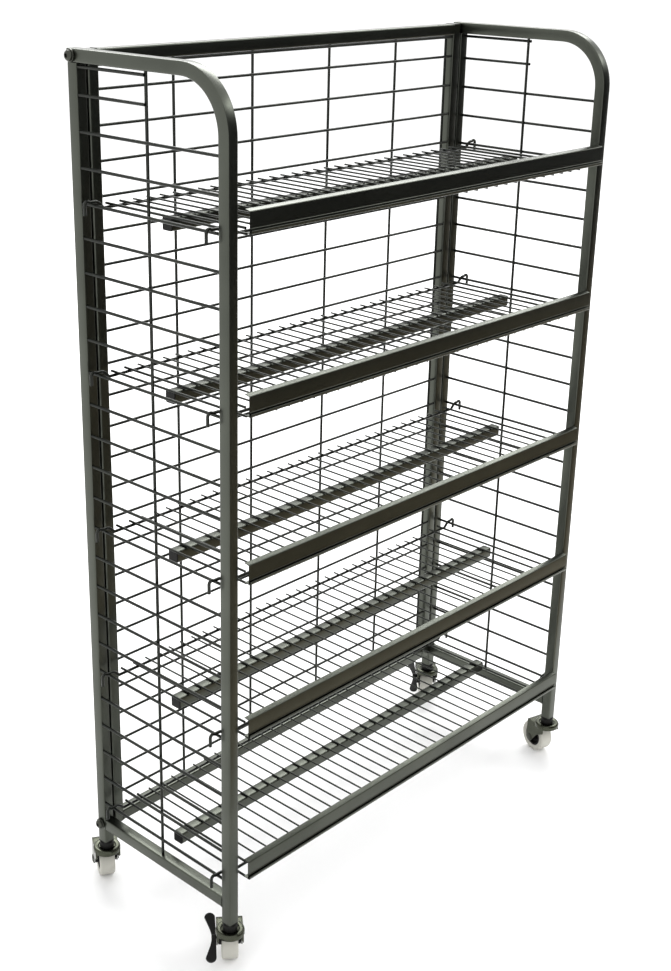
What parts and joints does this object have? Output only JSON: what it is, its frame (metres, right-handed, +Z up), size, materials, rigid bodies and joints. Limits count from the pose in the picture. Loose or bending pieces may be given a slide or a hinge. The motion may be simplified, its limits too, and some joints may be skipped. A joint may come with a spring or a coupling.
{
  "type": "wire display rack",
  "caption": "Mobile retail display rack: tube end frames and back frame with wire grids, hook-on wire shelves with price channels, on swivel castors.",
  "frame": {"origin": "on the floor under the centre of the footprint, trailing castors included", "axes": "+X towards the right end, +Y towards the back grid, +Z up"},
  "size_m": [0.9532, 0.3826, 1.373],
  "materials": {
    "frame_paint": "satin powder coat, gunmetal grey-green",
    "wire_paint": "satin powder coat, gunmetal grey-green",
    "castor_metal": "grey-green coated pressed steel, slightly glossy",
    "bolt_steel": "plated",
    "black_plastic": "moulded, slightly glossy",
    "grey_tyre": "light grey non-marking rubber"
  },
  "bodies": {
    "rack": {"left_end_frame": "frame_paint", "left_side_wire_grid": "wire_paint", "left_bottom_frame_bolt": "bolt_steel", "left_top_frame_bolt": "bolt_steel", "right_end_frame": "frame_paint", "right_side_wire_grid": "wire_paint", "right_bottom_frame_bolt": "bolt_steel", "right_top_frame_bolt": "bolt_steel", "back_frame": "frame_paint", "back_wire_grid": "wire_paint", "front_left_castor_stem": "black_plastic", "rear_left_castor_stem": "black_plastic", "front_right_castor_stem": "black_plastic", "rear_right_castor_stem": "black_plastic"},
    "shelf_1": {"shelf_1_wire_deck": "wire_paint", "shelf_1_price_channel": "frame_paint", "shelf_1_support_tube": "frame_paint", "shelf_1_tube_cap_left": "black_plastic", "shelf_1_tube_cap_right": "black_plastic"},
    "shelf_2": {"shelf_2_wire_deck": "wire_paint", "shelf_2_price_channel": "frame_paint", "shelf_2_support_tube": "frame_paint", "shelf_2_tube_cap_left": "black_plastic", "shelf_2_tube_cap_right": "black_plastic"},
    "shelf_3": {"shelf_3_wire_deck": "wire_paint", "shelf_3_price_channel": "frame_paint", "shelf_3_support_tube": "frame_paint", "shelf_3_tube_cap_left": "black_plastic", "shelf_3_tube_cap_right": "black_plastic"},
    "shelf_4": {"shelf_4_wire_deck": "wire_paint", "shelf_4_price_channel": "frame_paint", "shelf_4_support_tube": "frame_paint", "shelf_4_tube_cap_left": "black_plastic", "shelf_4_tube_cap_right": "black_plastic"},
    "shelf_5": {"shelf_5_wire_deck": "wire_paint", "shelf_5_price_channel": "frame_paint", "shelf_5_support_tube": "frame_paint", "shelf_5_tube_cap_left": "black_plastic", "shelf_5_tube_cap_right": "black_plastic"},
    "front_left_castor": {"front_left_castor_fork": "castor_metal", "front_left_castor_axle": "bolt_steel"},
    "front_left_wheel": {"front_left_castor_hub": "black_plastic", "front_left_castor_tyre": "grey_tyre"},
    "front_left_brake": {"front_left_brake_pedal": "black_plastic"},
    "rear_left_castor": {"rear_left_castor_fork": "castor_metal", "rear_left_castor_axle": "bolt_steel"},
    "rear_left_wheel": {"rear_left_castor_hub": "black_plastic", "rear_left_castor_tyre": "grey_tyre"},
    "front_right_castor": {"front_right_castor_fork": "castor_metal", "front_right_castor_axle": "bolt_steel"},
    "front_right_wheel": {"front_right_castor_hub": "black_plastic", "front_right_castor_tyre": "grey_tyre"},
    "rear_right_castor": {"rear_right_castor_fork": "castor_metal", "rear_right_castor_axle": "bolt_steel"},
    "rear_right_wheel": {"rear_right_castor_hub": "black_plastic", "rear_right_castor_tyre": "grey_tyre"},
    "rear_right_brake": {"rear_right_brake_pedal": "black_plastic"}
  },
  "joints": [
    {"name": "shelf_1_lift", "type": "slide", "parent": "rack", "child": "shelf_1", "axis": [0, 0, 1], "range_m": [0, 0.03]},
    {"name": "shelf_2_lift", "type": "slide", "parent": "rack", "child": "shelf_2", "axis": [0, 0, 1], "range_m": [0, 0.03]},
    {"name": "shelf_3_lift", "type": "slide", "parent": "rack", "child": "shelf_3", "axis": [0, 0, 1], "range_m": [0, 0.03]},
    {"name": "shelf_4_lift", "type": "slide", "parent": "rack", "child": "shelf_4", "axis": [0, 0, 1], "range_m": [0, 0.03]},
    {"name": "shelf_5_lift", "type": "slide", "parent": "rack", "child": "shelf_5", "axis": [0, 0, 1], "range_m": [0, 0.03]},
    {"name": "front_left_swivel", "type": "hinge", "parent": "rack", "child": "front_left_castor", "pos_m": [-0.42915, -0.16844, 0.066], "axis": [0, 0, 1], "continuous": true},
    {"name": "front_left_wheel_spin", "type": "hinge", "parent": "front_left_castor", "child": "front_left_wheel", "pos_m": [-0.41275, -0.14957, 0.03], "axis": [-0.7547, 0.6561, 0], "continuous": true},
    {"name": "front_left_brake_rock", "type": "hinge", "parent": "front_left_castor", "child": "front_left_brake", "pos_m": [-0.4239, -0.1624, 0.048], "axis": [-0.7547, 0.6561, 0], "range_deg": [0, 30]},
    {"name": "rear_left_swivel", "type": "hinge", "parent": "rack", "child": "rear_left_castor", "pos_m": [-0.42915, 0.13256, 0.066], "axis": [0, 0, 1], "continuous": true},
    {"name": "rear_left_wheel_spin", "type": "hinge", "parent": "rear_left_castor", "child": "rear_left_wheel", "pos_m": [-0.41665, 0.15421, 0.03], "axis": [-0.866, 0.5, 0], "continuous": true},
    {"name": "front_right_swivel", "type": "hinge", "parent": "rack", "child": "front_right_castor", "pos_m": [0.43185, -0.16844, 0.066], "axis": [0, 0, 1], "continuous": true},
    {"name": "front_right_wheel_spin", "type": "hinge", "parent": "front_right_castor", "child": "front_right_wheel", "pos_m": [0.43874, -0.14441, 0.03], "axis": [-0.9613, 0.2756, 0], "continuous": true},
    {"name": "rear_right_swivel", "type": "hinge", "parent": "rack", "child": "rear_right_castor", "pos_m": [0.43185, 0.13256, 0.066], "axis": [0, 0, 1], "continuous": true},
    {"name": "rear_right_wheel_spin", "type": "hinge", "parent": "rear_right_castor", "child": "rear_right_wheel", "pos_m": [0.44922, 0.15054, 0.03], "axis": [-0.7193, 0.6947, 0], "continuous": true},
    {"name": "rear_right_brake_rock", "type": "hinge", "parent": "rear_right_castor", "child": "rear_right_brake", "pos_m": [0.43741, 0.13831, 0.048], "axis": [-0.7193, 0.6947, 0], "range_deg": [0, 30]}
  ]
}
